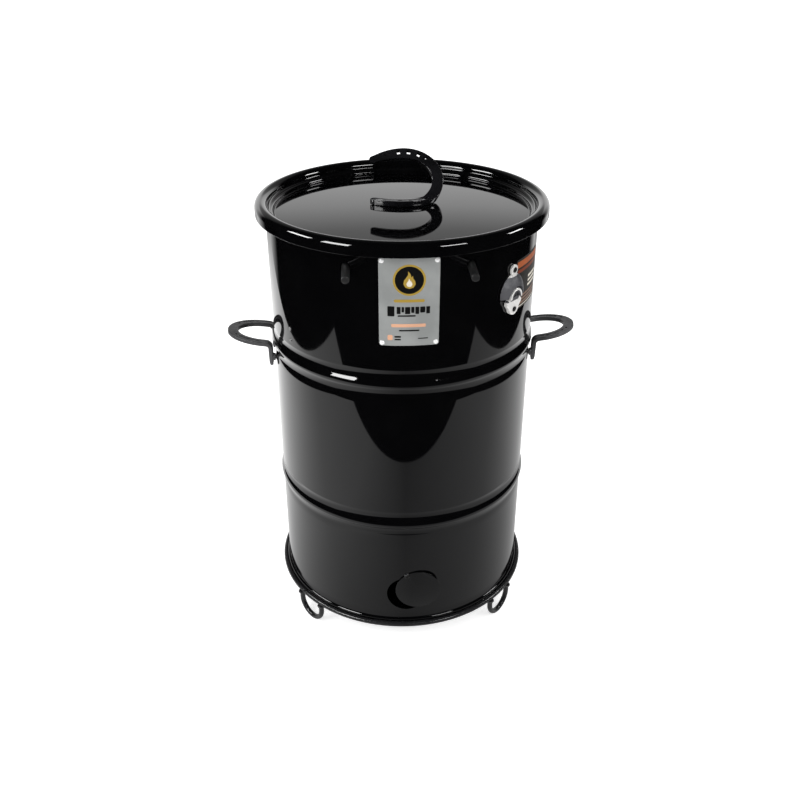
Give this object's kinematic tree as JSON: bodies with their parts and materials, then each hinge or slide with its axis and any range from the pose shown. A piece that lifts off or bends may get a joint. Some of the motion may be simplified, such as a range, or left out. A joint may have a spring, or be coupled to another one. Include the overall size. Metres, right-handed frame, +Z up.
{
  "type": "drum smoker",
  "caption": "Upright enamelled steel drum smoker with a recessed lift-off lid, horseshoe handles, swivel air vent, hanging rods with hooks, and a three-footed rod stand.",
  "frame": {"origin": "on the ground under the barrel axis", "axes": "+Z up along the barrel, -Y to the front with the name plate and air vent, +X to the right as seen from the front"},
  "size_m": [0.6418, 0.534, 0.8668],
  "materials": {
    "enamel": "gloss black porcelain enamel",
    "stand_black": "satin black",
    "horseshoe_iron": "black coated",
    "zinc": "zinc plated",
    "bright_steel": "polished",
    "brushed_plate": "brushed",
    "nickel": "nickel plated casting",
    "label_print": "printed film",
    "black_screw": "satin black",
    "stainless": "satin stainless",
    "grate_steel": "plated wire",
    "raw_steel": "plain mild steel"
  },
  "bodies": {
    "barrel": {"barrel_shell": "enamel", "barrel_bottom": "enamel", "base_ring": "stand_black", "foot_front_left": "stand_black", "foot_front_right": "stand_black", "foot_rear": "stand_black", "handle_left": "horseshoe_iron", "handle_right": "horseshoe_iron", "handle_studs": "horseshoe_iron", "handle_nuts": "zinc", "name_plate": "brushed_plate", "plate_rivets": "bright_steel", "bottle_opener": "nickel", "opener_screws": "bright_steel", "opener_nuts": "zinc", "care_label": "label_print", "side_rivets": "bright_steel", "vent_screw": "black_screw", "vent_washer": "zinc", "vent_nut": "zinc", "basket_wall": "raw_steel", "basket_grate": "raw_steel", "basket_legs": "raw_steel"},
    "vent_flap": {"vent_cover": "enamel"},
    "lid_assembly": {"lid": "enamel", "lid_handle": "horseshoe_iron", "lid_studs": "horseshoe_iron", "lid_nuts": "zinc"},
    "left_rod": {"rod_left": "stainless"},
    "right_rod": {"rod_right": "stainless"},
    "grate": {"cooking_grate": "grate_steel"},
    "bail": {"basket_bail": "stainless"},
    "hook_left_1_body": {"hook_left_1": "stainless"},
    "hook_left_2_body": {"hook_left_2": "stainless"},
    "hook_left_3_body": {"hook_left_3": "stainless"},
    "hook_left_4_body": {"hook_left_4": "stainless"},
    "hook_right_1_body": {"hook_right_1": "stainless"},
    "hook_right_2_body": {"hook_right_2": "stainless"},
    "hook_right_3_body": {"hook_right_3": "stainless"},
    "hook_right_4_body": {"hook_right_4": "stainless"}
  },
  "joints": [
    {"name": "lid_lift", "type": "slide", "parent": "barrel", "child": "lid_assembly", "axis": [0, 0, 1], "range_m": [0, 0.4]},
    {"name": "grate_lift", "type": "slide", "parent": "barrel", "child": "grate", "axis": [0, 0, 1], "range_m": [0, 0.28]},
    {"name": "vent_swivel", "type": "hinge", "parent": "barrel", "child": "vent_flap", "pos_m": [-0.0015, -0.2358, 0.1605], "axis": [0, -1, 0], "range_deg": [-33, 90]},
    {"name": "left_rod_slide", "type": "slide", "parent": "barrel", "child": "left_rod", "axis": [0, -1, 0], "range_m": [-0.03, 0.475]},
    {"name": "right_rod_slide", "type": "slide", "parent": "barrel", "child": "right_rod", "axis": [0, -1, 0], "range_m": [-0.03, 0.475]},
    {"name": "bail_swing", "type": "hinge", "parent": "barrel", "child": "bail", "pos_m": [0, 0, 0.23955], "axis": [-1, 0, 0], "range_deg": [0, 180]},
    {"name": "hook_left_1_swing", "type": "hinge", "parent": "barrel", "child": "hook_left_1_body", "pos_m": [-0.0973, -0.105, 0.756], "axis": [0, 1, 0], "range_deg": [-35, 35]},
    {"name": "hook_left_2_swing", "type": "hinge", "parent": "barrel", "child": "hook_left_2_body", "pos_m": [-0.0973, -0.035, 0.756], "axis": [0, 1, 0], "range_deg": [-35, 35]},
    {"name": "hook_left_3_swing", "type": "hinge", "parent": "barrel", "child": "hook_left_3_body", "pos_m": [-0.0973, 0.035, 0.756], "axis": [0, 1, 0], "range_deg": [-35, 35]},
    {"name": "hook_left_4_swing", "type": "hinge", "parent": "barrel", "child": "hook_left_4_body", "pos_m": [-0.0973, 0.105, 0.756], "axis": [0, 1, 0], "range_deg": [-35, 35]},
    {"name": "hook_right_1_swing", "type": "hinge", "parent": "barrel", "child": "hook_right_1_body", "pos_m": [0.0973, -0.105, 0.756], "axis": [0, 1, 0], "range_deg": [-35, 35]},
    {"name": "hook_right_2_swing", "type": "hinge", "parent": "barrel", "child": "hook_right_2_body", "pos_m": [0.0973, -0.035, 0.756], "axis": [0, 1, 0], "range_deg": [-35, 35]},
    {"name": "hook_right_3_swing", "type": "hinge", "parent": "barrel", "child": "hook_right_3_body", "pos_m": [0.0973, 0.035, 0.756], "axis": [0, 1, 0], "range_deg": [-35, 35]},
    {"name": "hook_right_4_swing", "type": "hinge", "parent": "barrel", "child": "hook_right_4_body", "pos_m": [0.0973, 0.105, 0.756], "axis": [0, 1, 0], "range_deg": [-35, 35]}
  ],
  "couplings": [
    {"joint": "grate_lift", "follows": "lid_lift", "ratio": 0.7}
  ]
}
